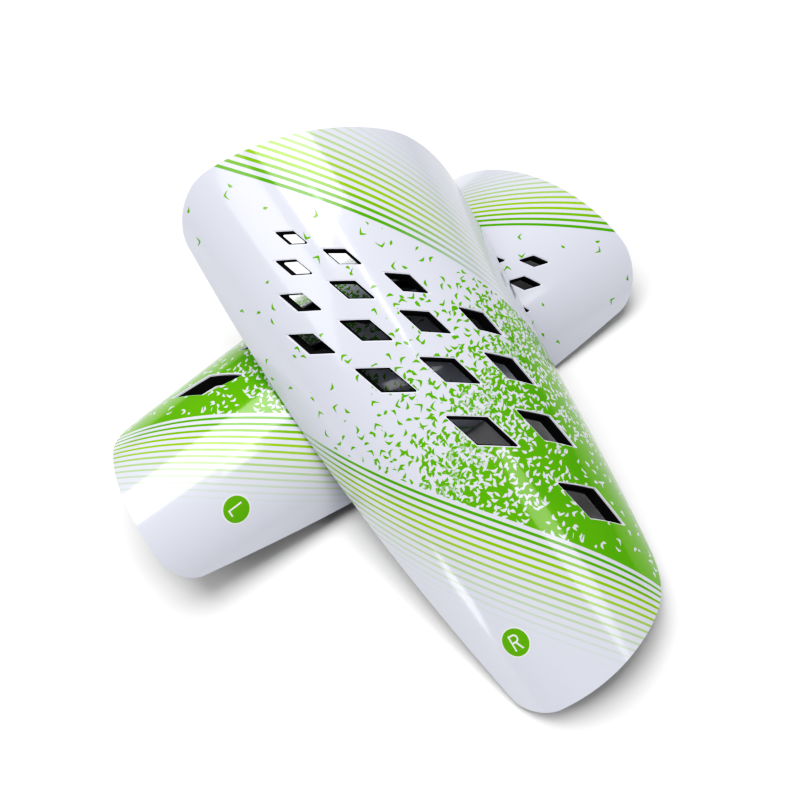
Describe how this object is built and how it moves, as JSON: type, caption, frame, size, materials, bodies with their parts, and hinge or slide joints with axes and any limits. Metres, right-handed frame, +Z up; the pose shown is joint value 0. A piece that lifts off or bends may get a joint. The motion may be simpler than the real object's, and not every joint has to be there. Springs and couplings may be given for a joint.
{
  "type": "shin guard pair",
  "caption": "Pair of slip-in shin guards: vented conical hard shells with printed film over foam liners, one lying across the other.",
  "frame": {"origin": "on the floor under the middle of the box round both guards", "axes": "+Z up from the floor; the left guard's knee end points to +X and +Y and the right guard lies across it with its knee end raised towards -X and +Y"},
  "size_m": [0.1966, 0.2162, 0.0991],
  "materials": {
    "print": "gloss",
    "shell": "gloss",
    "adhesive": "matte",
    "foam": "matte"
  },
  "bodies": {
    "left_guard": {"left_printed_film": "print", "left_shell": "shell", "left_adhesive_sheet": "adhesive", "left_foam_liner": "foam"},
    "right_guard": {"right_printed_film": "print", "right_shell": "shell", "right_adhesive_sheet": "adhesive", "right_foam_liner": "foam"}
  },
  "joints": [
    {"name": "right_guard_lift", "type": "slide", "parent": "left_guard", "child": "right_guard", "axis": [0, 0, 1], "range_m": [0, 0.15]}
  ]
}
